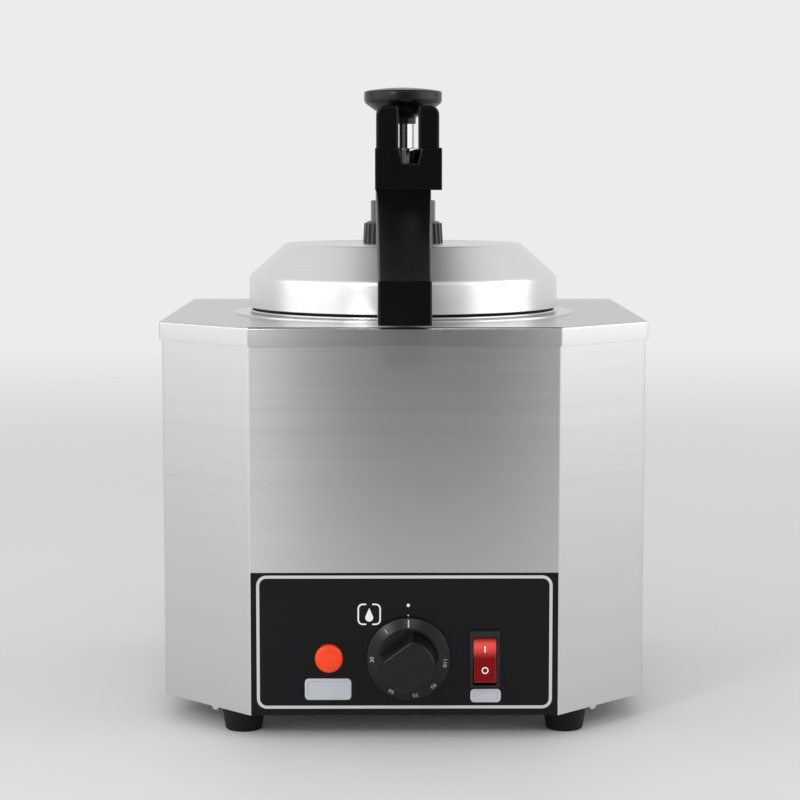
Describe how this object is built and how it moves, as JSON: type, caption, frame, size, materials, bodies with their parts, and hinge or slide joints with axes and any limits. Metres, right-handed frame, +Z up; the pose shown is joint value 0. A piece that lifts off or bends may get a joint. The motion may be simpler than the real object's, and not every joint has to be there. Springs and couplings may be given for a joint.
{
  "type": "hot fudge topping warmer",
  "caption": "Counter-top water-bath topping warmer with cut front corners, a lift-out jar and a lid that carries a hand pump with a long sloping spout.",
  "frame": {"origin": "middle of the whole object's base, on the worktop", "axes": "+Z up, front (spout and control panel) towards -Y, +X to the viewer's right"},
  "size_m": [0.25, 0.2884, 0.3268],
  "materials": {
    "brushed_deck": "brushed, deck grain",
    "brushed_body": "brushed, level grain",
    "plain_sheet": "mill",
    "drawn_steel": "satin",
    "spun_lid": "spun",
    "bright_screws": "bright",
    "chrome_trim": "polished",
    "heater_metal": "cast",
    "black_rubber": "matt",
    "black_moulding": "fine grain",
    "white_moulding": "plain",
    "mineral_wool": "fibrous",
    "black_panel": "semi-gloss",
    "grey_plate": "satin",
    "orange_lens": "translucent look",
    "red_rocker": "gloss",
    "black_knob": "semi-gloss",
    "black_gloss": "gloss",
    "grey_nylon": "ribbed",
    "dark_column": "satin",
    "copper_bulb": "bare"
  },
  "bodies": {
    "housing": {"top_plate": "brushed_deck", "body_wrap": "brushed_body", "rear_panel": "brushed_body", "rear_screws": "bright_screws", "base_plate": "plain_sheet", "rubber_feet": "black_rubber", "foot_screws": "bright_screws", "base_screws": "bright_screws", "water_well": "drawn_steel", "heating_element": "heater_metal", "heater_clamp": "plain_sheet", "limit_cutout": "black_moulding", "insulation_band": "mineral_wool", "terminal_block": "white_moulding", "cable_gland": "black_moulding", "gland_nut": "black_moulding", "control_panel": "black_panel", "lamp_plate": "grey_plate", "switch_plate": "grey_plate", "indicator_lens": "orange_lens", "indicator_body": "white_moulding", "rocker_bezel": "black_moulding", "thermostat_body": "white_moulding", "sensing_bulb": "copper_bulb"},
    "jar": {"inner_jar": "drawn_steel"},
    "lid_and_pump": {"lid_shell": "spun_lid", "lid_gasket": "black_rubber", "pump_flange": "drawn_steel", "collar_nut": "grey_nylon", "pump_column": "dark_column", "pump_head": "black_gloss", "rod_gland": "chrome_trim", "return_spring": "drawn_steel", "valve_body": "white_moulding", "ball_cage": "drawn_steel", "spout": "black_gloss"},
    "plunger": {"plunger_rod": "chrome_trim", "plunger_knob": "black_knob", "piston": "white_moulding", "piston_seal": "black_rubber"},
    "check_ball": {"valve_ball": "drawn_steel"},
    "thermostat_dial": {"thermostat_knob": "black_knob", "thermostat_shaft": "bright_screws"},
    "rocker": {"rocker_button": "red_rocker"}
  },
  "joints": [
    {"name": "lid_lift", "type": "slide", "parent": "housing", "child": "lid_and_pump", "axis": [0, 0, 1], "range_m": [0, 0.36]},
    {"name": "jar_lift", "type": "slide", "parent": "housing", "child": "jar", "axis": [0, 0, 1], "range_m": [0, 0.18]},
    {"name": "plunger_press", "type": "slide", "parent": "lid_and_pump", "child": "plunger", "axis": [0, 0, 1], "range_m": [-0.012, 0], "stiffness_N_per_m": 400, "springref_m": 0.012, "deforming": ["return_spring"]},
    {"name": "ball_rise", "type": "slide", "parent": "lid_and_pump", "child": "check_ball", "axis": [0, 0, 1], "range_m": [0, 0.003]},
    {"name": "thermostat_turn", "type": "hinge", "parent": "housing", "child": "thermostat_dial", "pos_m": [0.002, -0.10315, 0.041], "axis": [0, 1, 0], "range_deg": [0, 270]},
    {"name": "rocker_tilt", "type": "hinge", "parent": "housing", "child": "rocker", "pos_m": [0.04, -0.10135, 0.0397], "axis": [1, 0, 0], "range_deg": [0, 24]}
  ],
  "couplings": [
    {"joint": "jar_lift", "follows": "lid_lift", "ratio": 0.5}
  ]
}
